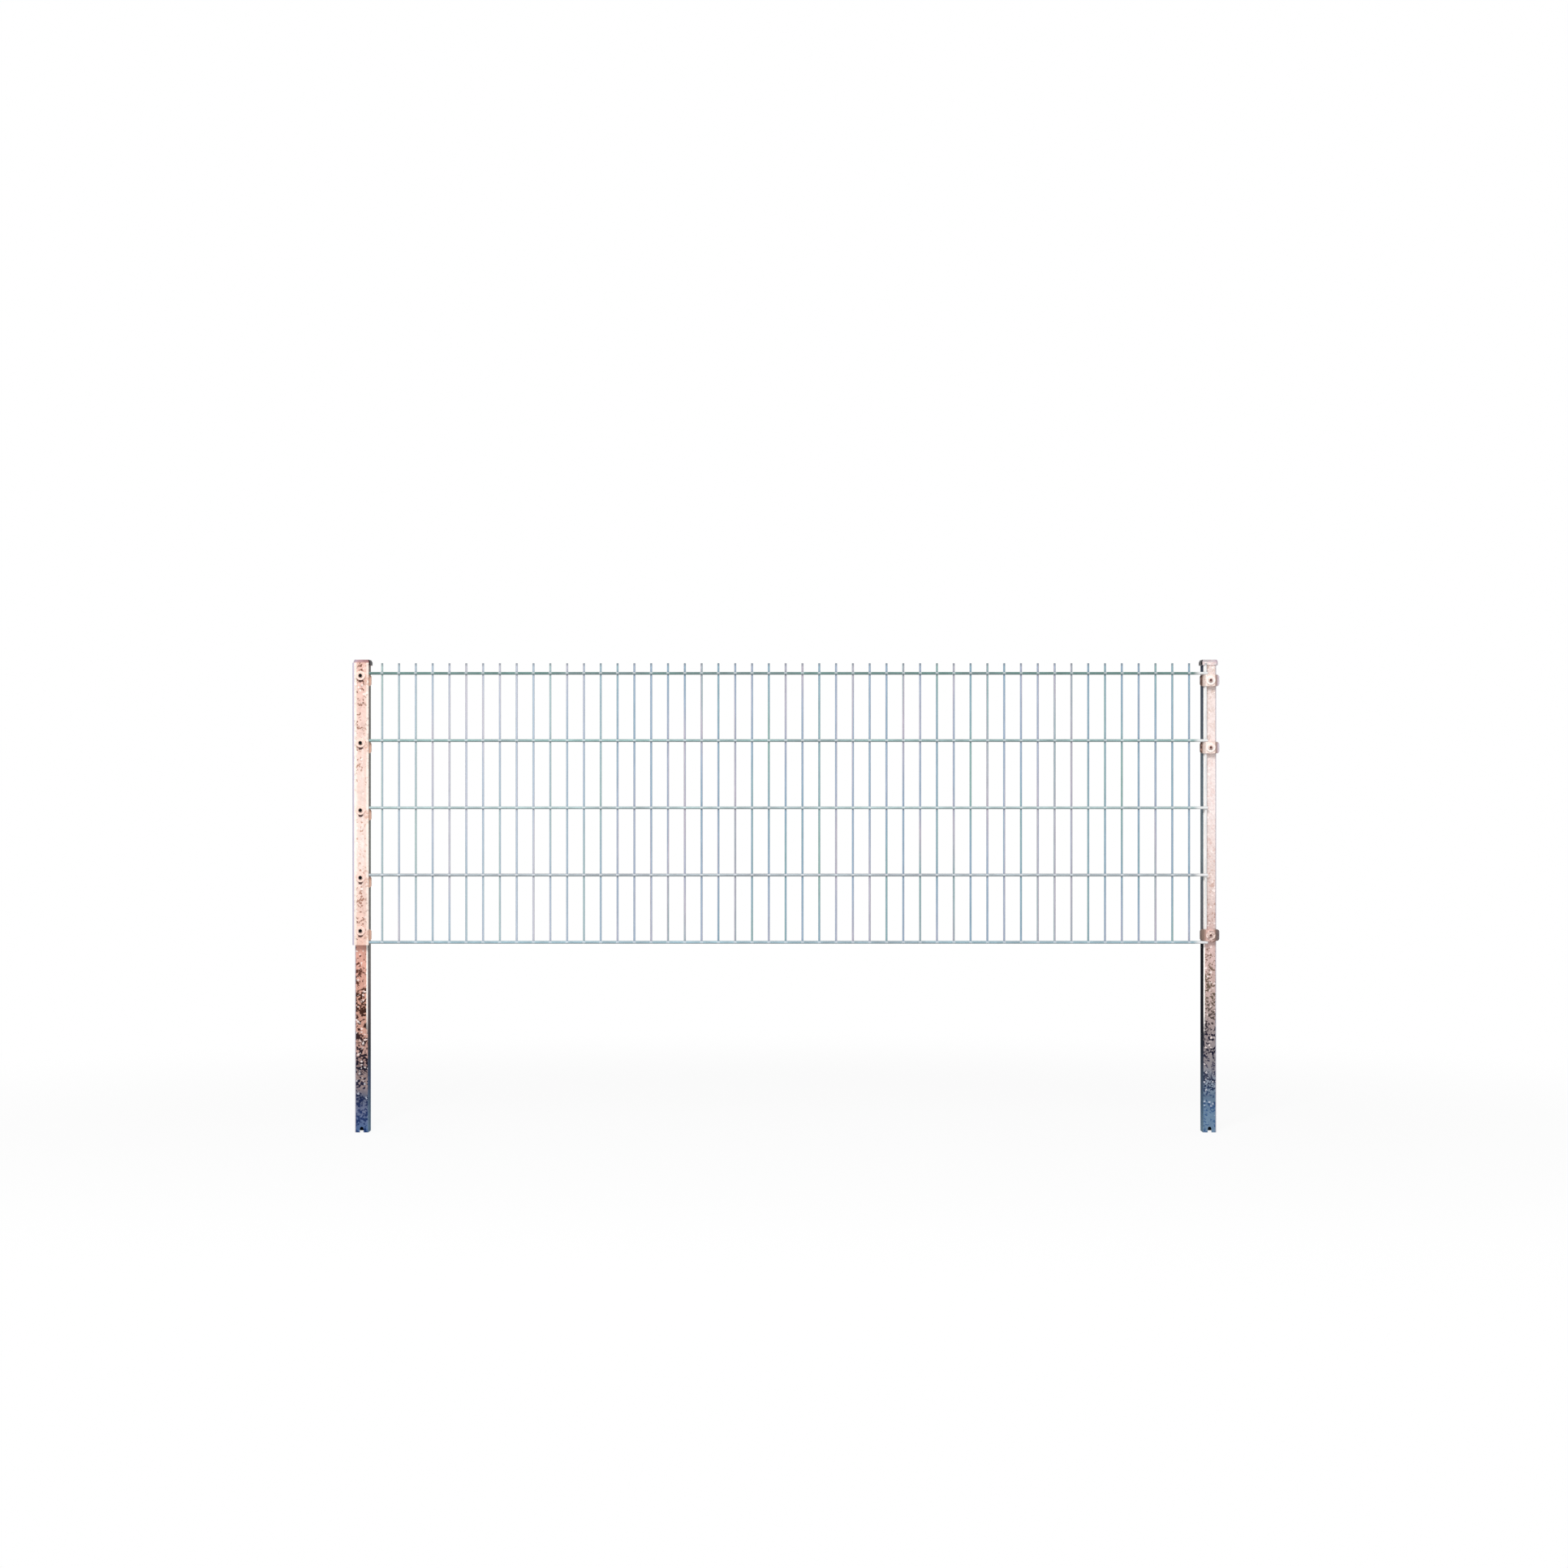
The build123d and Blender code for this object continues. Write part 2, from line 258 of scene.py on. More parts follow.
BAR_ZINC = (
    (0.560, rgb(238, 196, 180), rgb(124, 80, 66), 0.13, 0.04),
    (0.640, rgb(243, 208, 195), rgb(140, 96, 80), 0.11, 0.04),
    (0.730, rgb(245, 219, 209), rgb(170, 126, 108), 0.04, 0.04),
    (0.830, rgb(249, 230, 223), rgb(200, 160, 142), 0.02, 0.04),
    (0.980, rgb(245, 223, 215), rgb(188, 146, 128), 0.03, 0.04),
    (1.180, rgb(241, 212, 203), rgb(142, 100, 82), 0.09, 0.04),
    (1.310, rgb(234, 198, 187), rgb(120, 80, 64), 0.13, 0.04),
    (1.398, rgb(228, 187, 175), rgb(110, 72, 58), 0.18, 0.04),
)
FLECKS = (
    (0.00, rgb(170, 190, 214)),
    (0.10, rgb(206, 206, 216)),
    (0.16, rgb(255, 240, 236)),
    (1.00, rgb(255, 247, 242)),
)
PATCH_EDGE = 0.06
LEAN = 0.6
ZINC_METALLIC = 0.25


# Zinc with crystals, a ground colour by height that is a painted reflection, dark patches that crowd towards
# the foot, and bright flecks
def zinc(g, heights, patch_length, patch_width, shift):
    ragged = g.math("MULTIPLY_ADD", g.noise((0.03, 0.03, 0.04), 3.0, shift), 0.05, -0.025)
    level = g.math("DIVIDE", g.math("ADD", g.z, ragged), POST_TOP)

    def by_height(pick):
        return g.ramp(level, [(min(row[0] / POST_TOP, 1.0), pick(row)) for row in heights])

    cluster = g.math("MULTIPLY_ADD", g.noise((0.016, 0.016, 0.022), 2.0, shift + 3.0), 1.0, -0.5)
    share = g.math("MULTIPLY_ADD", by_height(lambda row: grey(row[3])), 0.6, cluster)
    crystal = g.crystals(patch_length, patch_width, LEAN, shift)
    crossing = g.crystals(patch_length, patch_width, -LEAN, shift + 5.0)
    rise = g.math("ADD", g.math("MAXIMUM", crystal, crossing), share)
    patch = by_height(lambda row: row[2])
    colour = g.shaded(by_height(lambda row: row[1]), crystal, 0.16)
    zone = g.step(g.noise((0.014, 0.014, 0.035), 3.0, shift + 9.0), 0.46, 0.62)
    colour = g.mix(g.math("MULTIPLY", zone, 0.14), colour, patch)
    colour = g.mix(g.step(rise, 1 - PATCH_EDGE, 1 + PATCH_EDGE), colour, patch)
    glint = g.math("ADD", g.crystals(0.005, 0.005, 0.0, shift + 7.0), by_height(lambda row: grey(row[4])))
    colour = g.mix(g.math("MULTIPLY", g.step(glint, 0.98, 1.02), 0.7), colour, g.ramp(level, FLECKS))
    return colour, crystal


def zinc_finish(g, colour, crystal, metallic, shift):
    roughness = g.math("MULTIPLY_ADD", crystal, 0.16, 0.42)
    grain = g.noise((0.002, 0.002, 0.004), 2.0, shift)
    bump = g.math("MULTIPLY_ADD", crystal, 0.6, grain)
    return g.finish(colour, roughness, metallic, 0.0, bump, 0.0002, 0.25)


# Painted highlight on the post's front corner beside the mesh, from a height upward
CORNER_HIGHLIGHT = rgb(255, 251, 246)
CORNER_HIGHLIGHT_WIDTH = 0.0075
CORNER_HIGHLIGHT_FULL_WIDTH = 0.0045
CORNER_HIGHLIGHT_FADE = 0.05
# Painted shade on the outer corner and side
OUTER_SIDE_SHADE = rgb(196, 192, 208)
# Painted shade inside the tube
TUBE_INSIDE_SHADE = rgb(12, 14, 22)
TUBE_EDGE = 0.0012
TUBE_DEPTH = 0.0018


# Post: zinc front, a painted highlight on the corner beside the mesh, painted shade on the side towards it,
# on the outer side and inside the tube
def post_material(name, heights, patch_length, patch_width, inner, inner_stops, highlight_above, shift):
    g = Graph(name)
    colour, crystal = zinc(g, heights, patch_length, patch_width, shift)
    centre_x = LEFT_X if inner > 0 else RIGHT_X
    edge_x = centre_x + inner * POST_HALF
    inwards = g.math("MULTIPLY_ADD", g.x, -inner, inner * edge_x)
    # Painted highlight along the front corner beside the mesh
    bright = g.both(
        g.step(inwards, CORNER_HIGHLIGHT_WIDTH, CORNER_HIGHLIGHT_FULL_WIDTH),
        g.step(g.z, highlight_above - CORNER_HIGHLIGHT_FADE, highlight_above + CORNER_HIGHLIGHT_FADE),
    )
    colour = g.mix(g.math("MULTIPLY", bright, 0.9), colour, CORNER_HIGHLIGHT)
    # Painted shade on the side towards the mesh
    towards_mesh = g.math("MULTIPLY", g.nx, inner)
    stops = [(height / POST_TOP, shade) for height, shade in inner_stops]
    side = g.shaded(g.ramp(g.math("DIVIDE", g.z, POST_TOP), stops), crystal, 0.3)
    turned = g.step(towards_mesh, 0.35, 0.65)
    colour = g.mix(turned, colour, side)
    # Painted shade on the outer corner and side
    flat = g.math("MULTIPLY_ADD", g.step(towards_mesh, -0.80, -0.98), -0.35, 0.8)
    outer = g.math("MULTIPLY", g.step(towards_mesh, -0.10, -0.60), flat)
    colour = g.mix(outer, colour, g.shaded(OUTER_SIDE_SHADE, crystal, 0.16))
    # Painted shade inside the tube
    from_middle_x = g.math("ABSOLUTE", g.math("SUBTRACT", g.x, centre_x))
    from_middle_y = g.math("ABSOLUTE", g.math("SUBTRACT", g.y, POST_Y))
    inside = g.both(
        g.step(from_middle_x, POST_HALF - TUBE_EDGE, POST_HALF - TUBE_DEPTH),
        g.step(from_middle_y, POST_HALF_DEPTH - TUBE_EDGE, POST_HALF_DEPTH - TUBE_DEPTH),
    )
    colour = g.mix(g.math("MULTIPLY", inside, 0.85), colour, TUBE_INSIDE_SHADE)
    metallic = g.math("MULTIPLY_ADD", turned, -ZINC_METALLIC, ZINC_METALLIC)
    return zinc_finish(g, colour, crystal, metallic, shift)


# Painted shade of the side towards the mesh, by height in metres
LEFT_SIDE_SHADE = (
    (0.00, rgb(122, 150, 174)),
    (0.07, rgb(108, 130, 154)),
    (0.11, rgb(94, 112, 138)),
    (0.15, rgb(86, 102, 132)),
    (0.20, rgb(82, 92, 112)),
    (0.24, rgb(74, 80, 90)),
    (0.31, rgb(96, 92, 96)),
    (0.39, rgb(116, 110, 112)),
    (0.48, rgb(148, 142, 140)),
    (0.60, rgb(154, 152, 147)),
    (0.80, rgb(166, 168, 161)),
    (1.39, rgb(158, 154, 149)),
)
RIGHT_SIDE_SHADE = (
    (0.00, rgb(124, 150, 170)),
    (0.07, rgb(88, 116, 144)),
    (0.15, rgb(80, 95, 115)),
    (0.20, rgb(66, 76, 92)),
    (0.25, rgb(50, 56, 68)),
    (0.31, rgb(32, 34, 42)),
    (0.56, rgb(32, 34, 40)),
    (0.60, rgb(118, 118, 122)),
    (0.73, rgb(124, 132, 140)),
    (0.83, rgb(136, 150, 156)),
    (0.98, rgb(130, 146, 156)),
    (1.19, rgb(108, 118, 128)),
    (1.39, rgb(76, 84, 102)),
)

# Bands of the bar by distance from its outer edge: share of the band's colour, and the colour; the bands are
# painted shade and painted highlights along its edges
BAR_BANDS = (
    (0.0000, 1.00, rgb(170, 166, 186)),
    (0.0035, 1.00, rgb(186, 180, 198)),
    (0.0065, 0.65, rgb(248, 240, 234)),
    (0.0100, 0.65, rgb(253, 244, 233)),
    (0.0145, 0.00, rgb(253, 238, 226)),
    (0.0165, 0.25, rgb(228, 196, 180)),
    (0.0230, 0.15, rgb(228, 196, 182)),
    (0.0260, 0.00, rgb(226, 194, 180)),
    (0.0320, 0.00, rgb(222, 192, 180)),
    (0.0355, 0.55, rgb(224, 194, 182)),
    (0.0400, 0.40, rgb(228, 202, 190)),
    (0.0425, 0.60, rgb(247, 236, 227)),
    (0.0480, 0.60, rgb(244, 234, 225)),
)
# Painted shadow and dirt under each washer: colour, place and reach
SHADOW_DIRT_BROWN = rgb(66, 36, 33)
SHADOW_DIRT_DROP = 0.0134
SHADOW_DIRT_REACH = 0.0088
SHADOW_DIRT_FADE = 0.003
SHADOW_DIRT_TOP_RISE = 0.030
SHADOW_DIRT_TOP_REACH = 0.0435
SHADOW_DIRT_TOP_FADE = 0.0012
EAR_TAN = rgb(208, 166, 148)
EAR_DROP = 0.013
EAR_REACH = 0.018
EAR_FULL_REACH = 0.012


# Painted shadow and dirt below each washer, flat above, round and ragged below
def shadow_and_dirt_below(g, places):
    ragged = g.math("MULTIPLY_ADD", g.noise((0.006, 0.006, 0.006), 2.0, 1.5), 0.007, -0.0035)
    from_middle = g.math("ADD", g.nearest([(x, z - SHADOW_DIRT_DROP) for x, z in places]), ragged)
    disc = g.step(from_middle, SHADOW_DIRT_REACH, SHADOW_DIRT_REACH - SHADOW_DIRT_FADE)
    from_above = g.nearest([(x, z + SHADOW_DIRT_TOP_RISE) for x, z in places])
    return g.both(disc, g.step(from_above, SHADOW_DIRT_TOP_REACH, SHADOW_DIRT_TOP_REACH + SHADOW_DIRT_TOP_FADE))


# Bar: bands along its length with painted shade and highlights at its edges, painted shadow and dirt under
# each washer, tan blotches beside each saddle
def bar_material(name, shift):
    g = Graph(name)
    colour, crystal = zinc(g, BAR_ZINC, 0.007, 0.0042, shift)
    width = BAR_HIGH.x - BAR_LOW.x
    wander = g.math("MULTIPLY_ADD", g.noise((0.02, 0.02, 0.03), 2.0, shift), 0.03, -0.015)
    place = g.math("ADD", g.math("MULTIPLY_ADD", g.x, 1 / width, -BAR_LOW.x / width), wander)
    # Painted shade and highlights in bands along the bar's edges
    amount = g.ramp(place, [(edge / width, grey(share)) for edge, share, shade in BAR_BANDS])
    bands = g.ramp(place, [(edge / width, shade) for edge, share, shade in BAR_BANDS])
    colour = g.mix(amount, colour, bands)
    ears = g.nearest([(BAR_HIGH.x, z - EAR_DROP) for x, z in BAR_BOLTS])
    blotch = g.step(g.noise((0.006, 0.006, 0.008), 2.0, shift + 5.0), 0.35, 0.60)
    colour = g.mix(g.both(g.step(ears, EAR_REACH, EAR_FULL_REACH), blotch, 0.8), colour, EAR_TAN)
    # Painted shadow and dirt under each washer
    colour = g.mix(g.math("MULTIPLY", shadow_and_dirt_below(g, BAR_BOLTS), 0.92), colour, SHADOW_DIRT_BROWN)
    return zinc_finish(g, colour, crystal, ZINC_METALLIC, shift)


CAP_REACH = 0.025


# Cap: colours across its front, painted shade across its bevel, and painted shade on the end towards the mesh
def cap_material(name, centre_x, inner, front, bevel, shift):
    g = Graph(name)
    crystal = g.crystals(0.009, 0.006, LEAN, shift)
    colour = g.across(centre_x, CAP_REACH, front)
    blotch = g.step(g.noise((0.010, 0.010, 0.008), 3.0, shift), 0.46, 0.62)
    colour = g.mix(g.math("MULTIPLY", blotch, 0.55), colour, rgb(226, 190, 192))
    # Painted shade on the bevel
    colour = g.mix(g.step(g.nz, 0.2, 0.5), colour, g.across(centre_x, CAP_REACH, bevel))
    colour = g.mix(g.math("MULTIPLY", g.step(g.nz, 0.95, 0.99), 0.6), colour, rgb(184, 175, 178))
    # Painted shade on the end towards the mesh
    colour = g.mix(g.step(g.math("MULTIPLY", g.nx, inner), 0.45, 0.75), colour, rgb(30, 28, 34))
    colour = g.shaded(colour, crystal, 0.2)
    return g.finish(colour, 0.48, 0.15, 0.1, g.noise((0.002, 0.002, 0.002), 3.0, shift), 0.0002, 0.3)


LEFT_CAP_FRONT = (
    (-CAP_REACH, rgb(206, 196, 208)),
    (-0.012, rgb(226, 180, 168)),
    (CAP_REACH, rgb(190, 138, 126)),
)
# Colours across the bevels, which are painted shade
LEFT_CAP_BEVEL = (
    (-CAP_REACH, rgb(180, 172, 192)),
    (-0.008, rgb(172, 138, 148)),
    (CAP_REACH, rgb(142, 98, 98)),
)
RIGHT_CAP_FRONT = (
    (-CAP_REACH, rgb(252, 248, 244)),
    (0.010, rgb(248, 232, 227)),
    (CAP_REACH, rgb(208, 200, 210)),
)
RIGHT_CAP_BEVEL = (
    (-CAP_REACH, rgb(164, 158, 162)),
    (0.005, rgb(190, 180, 184)),
    (CAP_REACH, rgb(198, 176, 190)),
)

# Shade of the rods by height of the row
ROD_ROWS = (
    (0.567, rgb(165, 192, 203)),
    (0.767, rgb(181, 190, 196)),
    (0.967, rgb(182, 203, 204)),
    (1.167, rgb(151, 182, 180)),
    (1.367, rgb(116, 147, 142)),
)
WELD_BAND = 0.0056
WELD_BAND_FULL = 0.0028
PALE_END = 0.042
PALE_END_FULL = 0.018


# Rods: shade by row, pale at the welds and at the ends on the right post, with a painted highlight on top and
# painted shade underneath
def rod_material(name):
    g = Graph(name)
    share = g.math("DIVIDE", g.z, POST_TOP)
    colour = g.ramp(share, [(height / POST_TOP, shade) for height, shade in ROD_ROWS])
    tint = g.noise((0.25, 1.0, 0.02), 2.0, 6.0)
    tint = g.math("MULTIPLY", g.step(tint, 0.44, 0.68), 0.45)
    colour = g.mix(tint, colour, rgb(146, 148, 156))
    colour = g.shaded(colour, g.noise((0.030, 0.004, 0.004), 3.0), 0.3, 0.3, 0.7)
    # Painted highlight on the tops of the rods
    above = g.step(g.nz, 0.45, 0.95)
    colour = g.mix(g.math("MULTIPLY", above, 0.2), colour, rgb(222, 220, 222))
    along = g.math("PINGPONG", g.math("SUBTRACT", g.x, FIRST_WIRE_X), MESH_PITCH / 2)
    ragged = g.math("MULTIPLY_ADD", g.noise((0.003, 0.003, 0.003), 2.0, 3.0), 0.003, -0.0015)
    weld = g.step(g.math("ADD", along, ragged), WELD_BAND, WELD_BAND_FULL)
    colour = g.mix(g.math("MULTIPLY", weld, 0.4), colour, rgb(222, 225, 231))
    # Painted shade under the rods
    below = g.step(g.nz, 0.0, -0.8)
    colour = g.mix(g.math("MULTIPLY", below, 0.55), colour, rgb(104, 118, 120))
    pale_end = g.step(g.x, LAST_WIRE_X - PALE_END, LAST_WIRE_X - PALE_END_FULL)
    colour = g.mix(g.math("MULTIPLY", pale_end, 0.75), colour, rgb(238, 236, 236))
    return g.finish(colour, 0.45, 0.15, 0.0, g.noise((0.004, 0.002, 0.002), 3.0), 0.0003, 0.3)


# Tints of the upright wires by share of a slow noise
UPRIGHT_TINTS = (
    (0.34, rgb(148, 182, 177)),
    (0.44, rgb(148, 177, 196)),
    (0.52, rgb(165, 181, 203)),
    (0.60, rgb(195, 186, 200)),
    (0.70, rgb(148, 179, 182)),
)
PALER_FROM_X = -0.35
PALEST_FROM_X = -0.75
TIP_START = 0.012
TIP_FULL = 0.002


# Upright wires: tints that change from wire to wire and slowly along each one, paler towards the left, with
# painted shade on their flanks and darker tips that are cut ends and painted shade
def upright_material(name, light):
    g = Graph(name)
    colour = g.ramp(g.noise((0.021, 10.0, 0.9), 2.0, 2.0), UPRIGHT_TINTS)
    # Painted highlight: a share of near white, used on the right edge wire
    colour = g.mix(light, colour, rgb(252, 250, 248))
    colour = g.shaded(colour, g.noise((0.003, 0.003, 0.045), 3.0, 4.0), 0.2, 0.3, 0.7)
    paler = g.math("MULTIPLY", g.step(g.x, PALER_FROM_X, PALEST_FROM_X), 0.32)
    colour = g.mix(paler, colour, rgb(222, 226, 232))
    # Painted shade on the flanks
    flank = g.step(g.math("ABSOLUTE", g.nx), 0.6, 0.95)
    colour = g.mix(g.math("MULTIPLY", flank, 0.35 * (1 - light)), colour, rgb(122, 138, 147))
    # Darker tips: cut ends and painted shade
    tip = g.step(g.z, WIRE_TOP - TIP_START, WIRE_TOP - TIP_FULL)
    colour = g.mix(g.math("MULTIPLY", tip, 0.6), colour, rgb(118, 126, 134))
    return g.finish(colour, 0.45, 0.15, 0.0, g.noise((0.002, 0.002, 0.006), 3.0), 0.0003, 0.3)


CASTING_REACH = 0.030


# Castings: colours across the piece with painted shade on the clamps' slopes and ears, blotches, painted
# shade underneath, and painted shade in their corners
def casting_material(name, centre_x, stops, blotched, shift):
    g = Graph(name)
    colour = g.across(centre_x, CASTING_REACH, stops)
    blotch = g.noise((0.008, 0.008, 0.008), 4.0, shift)
    colour = g.mix(g.math("MULTIPLY", g.step(blotch, 0.54, 0.68), 0.4), colour, blotched)
    # Painted shade underneath
    colour = g.mix(g.math("MULTIPLY", g.step(g.nz, -0.4, -0.9), 0.4), colour, rgb(176, 140, 128))
    # Painted shade in the corners, by occlusion
    shade_and_dirt = g.step(g.crevice(0.003), 0.45, 0.9)
    colour = g.mix(g.math("MULTIPLY", shade_and_dirt, 0.5), colour, rgb(132, 98, 88))
    return g.finish(colour, 0.5, 0.15, 0.1, g.noise((0.0016, 0.0016, 0.0016), 3.0), 0.0003, 0.4)


BLOTCH_TAN = rgb(196, 156, 140)
BLOTCH_BROWN = rgb(88, 66, 64)
SADDLE_ACROSS = (
    (-CASTING_REACH, rgb(226, 186, 166)),
    (0.016, rgb(222, 184, 164)),
    (CASTING_REACH, rgb(210, 168, 148)),
)
# Colours across the clamps: painted highlight on the crest and painted shade on the slopes and ears
CLAMP_ACROSS = (
    (-CASTING_REACH, rgb(80, 62, 58)),
    (-0.023, rgb(96, 74, 68)),
    (-0.020, rgb(226, 204, 194)),
    (-0.014, rgb(246, 228, 220)),
    (0.000, rgb(246, 230, 222)),
    (0.013, rgb(240, 218, 208)),
    (0.017, rgb(198, 168, 158)),
    (0.021, rgb(190, 162, 158)),
    (0.024, rgb(212, 200, 208)),
    (CASTING_REACH, rgb(222, 214, 222)),
)
# Colours across the lowest clamp: the same painted highlight and shade, browner
LOW_CLAMP_ACROSS = (
    (-CASTING_REACH, rgb(96, 82, 76)),
    (-0.024, rgb(124, 106, 97)),
    (-0.019, rgb(154, 128, 116)),
    (-0.013, rgb(204, 168, 156)),
    (-0.004, rgb(236, 206, 198)),
    (0.006, rgb(230, 198, 190)),
    (0.013, rgb(172, 138, 126)),
    (0.019, rgb(132, 113, 107)),
    (0.024, rgb(120, 108, 108)),
    (CASTING_REACH, rgb(156, 148, 152)),
)


SOCKET_SHADE_FADE = 0.0005


# Bolt heads with painted shade in the socket and under the head
def bolt_material(name, places, socket_shade, socket_shade_reach):
    g = Graph(name)
    grain = g.noise((0.003, 0.003, 0.003), 3.0)
    colour = g.ramp(grain, ((0.3, rgb(212, 182, 170)), (0.7, rgb(244, 224, 214))))
    # Painted shade under the head
    colour = g.mix(g.math("MULTIPLY", g.step(g.nz, -0.2, -0.6), 0.7), colour, rgb(92, 64, 58))
    ragged = g.math("MULTIPLY_ADD", g.noise((0.002, 0.002, 0.002), 2.0, 9.0), 0.0016, -0.0008)
    from_axis = g.math("ADD", g.nearest(places), ragged)
    # Painted shade in and around the socket
    colour = g.mix(g.step(from_axis, socket_shade_reach + SOCKET_SHADE_FADE, socket_shade_reach - SOCKET_SHADE_FADE), colour, socket_shade)
    return g.finish(colour, 0.45, 0.1, 0.1, grain, 0.0001, 0.2)


# Washers: bright rings with painted shade underneath, painted shadow and dirt over the lower edge, and with
# blotches low on the post
def washer_material(name, places, light, dark, shade_and_stain, shade_and_dirt, low_stain):
    g = Graph(name)
    grain = g.noise((0.004, 0.004, 0.004), 3.0, 2.0)
    colour = g.ramp(grain, ((0.3, dark), (0.7, light)))
    # Painted shade under the washer
    colour = g.mix(g.math("MULTIPLY", g.step(g.nz, -0.45, -0.8), 0.7), colour, shade_and_stain)
    # Painted shadow and dirt over the lower edge
    colour = g.mix(g.math("MULTIPLY", shadow_and_dirt_below(g, places), shade_and_dirt), colour, shade_and_stain)
    low_down = g.math("MULTIPLY", g.step(g.z, 0.80, 0.60), low_stain)
    colour = g.mix(low_down, colour, rgb(218, 180, 168))
    blotch = g.step(g.noise((0.007, 0.007, 0.007), 2.0, 5.0), 0.44, 0.56)
    colour = g.mix(g.both(blotch, low_down), colour, rgb(96, 60, 58))
    return g.finish(colour, 0.4, 0.3, 0.3, grain, 0.0001, 0.2)


def nut_material(name):
    g = Graph(name)
    grain = g.noise((0.003, 0.003, 0.003), 3.0)
    colour = g.ramp(grain, ((0.3, rgb(176, 160, 110)), (0.7, rgb(214, 200, 152))))
    return g.finish(colour, 0.4, 0.4, 0.4, grain, 0.0001, 0.2)


def weld_material(name):
    g = Graph(name)
    scale = g.noise((0.0012, 0.0012, 0.0012), 3.0)
    colour = g.ramp(scale, ((0.3, rgb(176, 184, 192)), (0.7, rgb(232, 236, 240))))
    return g.finish(colour, 0.4, 0.35, 0.2, scale, 0.0003, 0.5)


def dress(name, material):
    target = nodes[name]
    target.data.materials.clear()
    target.data.materials.append(material)


# Washer rings: light, dark, colour of the painted shade and stain, share of painted shadow and dirt, share of
# blotches low down
BAR_RING = (rgb(247, 221, 210), rgb(232, 197, 184), rgb(66, 38, 35), 0.9, 0.0)
CLAMP_RING = (rgb(250, 242, 238), rgb(241, 223, 216), rgb(198, 166, 156), 0.4, 0.55)
# Sockets: colour and reach of their painted shade
BAR_SOCKET = (rgb(8, 5, 5), 0.0053)
CLAMP_SOCKET = (rgb(122, 86, 84), 0.0042)

# A material for each node
dress("left_post", post_material("left_post_zinc", LEFT_ZINC, 0.0085, 0.005, 1.0, LEFT_SIDE_SHADE, 0.32, 0.0))
dress("right_post", post_material("right_post_zinc", RIGHT_ZINC, 0.006, 0.0042, -1.0, RIGHT_SIDE_SHADE, 0.32, 2.0))
dress("cover_bar", bar_material("bar_zinc", 11.0))
dress("left_post_cap", cap_material("left_cap_metal", LEFT_X, 1.0, LEFT_CAP_FRONT, LEFT_CAP_BEVEL, 4.0))
dress("right_post_cap", cap_material("right_cap_metal", RIGHT_X, -1.0, RIGHT_CAP_FRONT, RIGHT_CAP_BEVEL, 8.0))
dress("bar_bolts", bolt_material("bar_bolt_steel", BAR_BOLTS, *BAR_SOCKET))
dress("clamp_bolts", bolt_material("clamp_bolt_steel", CLAMP_BOLTS, *CLAMP_SOCKET))
dress("bar_washers", washer_material("bar_washer_steel", BAR_BOLTS, *BAR_RING))
dress("clamp_washers", washer_material("clamp_washer_steel", CLAMP_BOLTS, *CLAMP_RING))

# Share of the painted highlight on the right edge wire
EDGE_WIRE_HIGHLIGHT_SHARE = 0.85
rods = rod_material("rod_zinc")
uprights = upright_material("upright_zinc", 0.0)
saddle_casting = casting_material("saddle_zinc", LEFT_X, SADDLE_ACROSS, BLOTCH_TAN, 1.0)
clamp_casting = casting_material("clamp_zinc", RIGHT_X, CLAMP_ACROSS, BLOTCH_TAN, 2.0)
low_clamp_casting = casting_material("low_clamp_zinc", RIGHT_X, LOW_CLAMP_ACROSS, BLOTCH_BROWN, 3.0)
nuts = nut_material("nut_steel")
for name in nodes:
    if name.startswith(("front_wire", "rear_wire")):
        dress(name, rods)
    elif name.startswith("infill_wires") or name == "left_edge_wire":
        dress(name, uprights)
    elif name.startswith("wire_saddle"):
        dress(name, saddle_casting)
    elif name == f"wire_clamp_{CLAMP_COUNT}":
        dress(name, low_clamp_casting)
    elif name.startswith("wire_clamp"):
        dress(name, clamp_casting)
    elif name.endswith("rivet_nuts"):
        dress(name, nuts)
dress("right_edge_wire", upright_material("highlit_upright_zinc", EDGE_WIRE_HIGHLIGHT_SHARE))


# Weld beads: squeezed-out zinc and steel where each upright meets its two rods
BEAD_REACH = 0.0045
BEAD_HALF_DEPTH = 0.0013
BEAD_UNEVEN = 0.16
BEAD_SEGMENTS = 12
BEAD_RINGS = 6


def weld_beads(row, material):
    rng = random.Random(row)
    front_low, front_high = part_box(f"front_wire_{row}")
    rear_low, rear_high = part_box(f"rear_wire_{row}")
    height = (front_low.z + front_high.z) / 2
    mesh = bmesh.new()
    for index in range(WIRE_COUNT):
        for contact_y in (front_high.y, rear_low.y):
            reach = BEAD_REACH * rng.uniform(1 - BEAD_UNEVEN, 1 + BEAD_UNEVEN)
            size = Matrix.Diagonal((reach, reach, BEAD_HALF_DEPTH, 1.0))
            turn = Matrix.Rotation(math.pi / 2, 4, "X")
            place = Matrix.Translation((FIRST_WIRE_X + index * MESH_PITCH, contact_y, height))
            bead = bmesh.ops.create_uvsphere(
                mesh,
                u_segments=BEAD_SEGMENTS,
                v_segments=BEAD_RINGS,
                radius=1.0,
                matrix=place @ turn @ size,
            )
            centre = Vector(place.translation)
            for corner in bead["verts"]:
                corner.co = centre + (corner.co - centre) * rng.uniform(1 - BEAD_UNEVEN, 1.0)
    for face in mesh.faces:
        face.smooth = True
    data = bpy.data.meshes.new(f"weld_beads_{row}")
    mesh.to_mesh(data)
    mesh.free()
    made = bpy.data.objects.new(f"weld_beads_{row}", data)
    bpy.context.scene.collection.objects.link(made)
    made.data.materials.append(material)
    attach(made, "root")


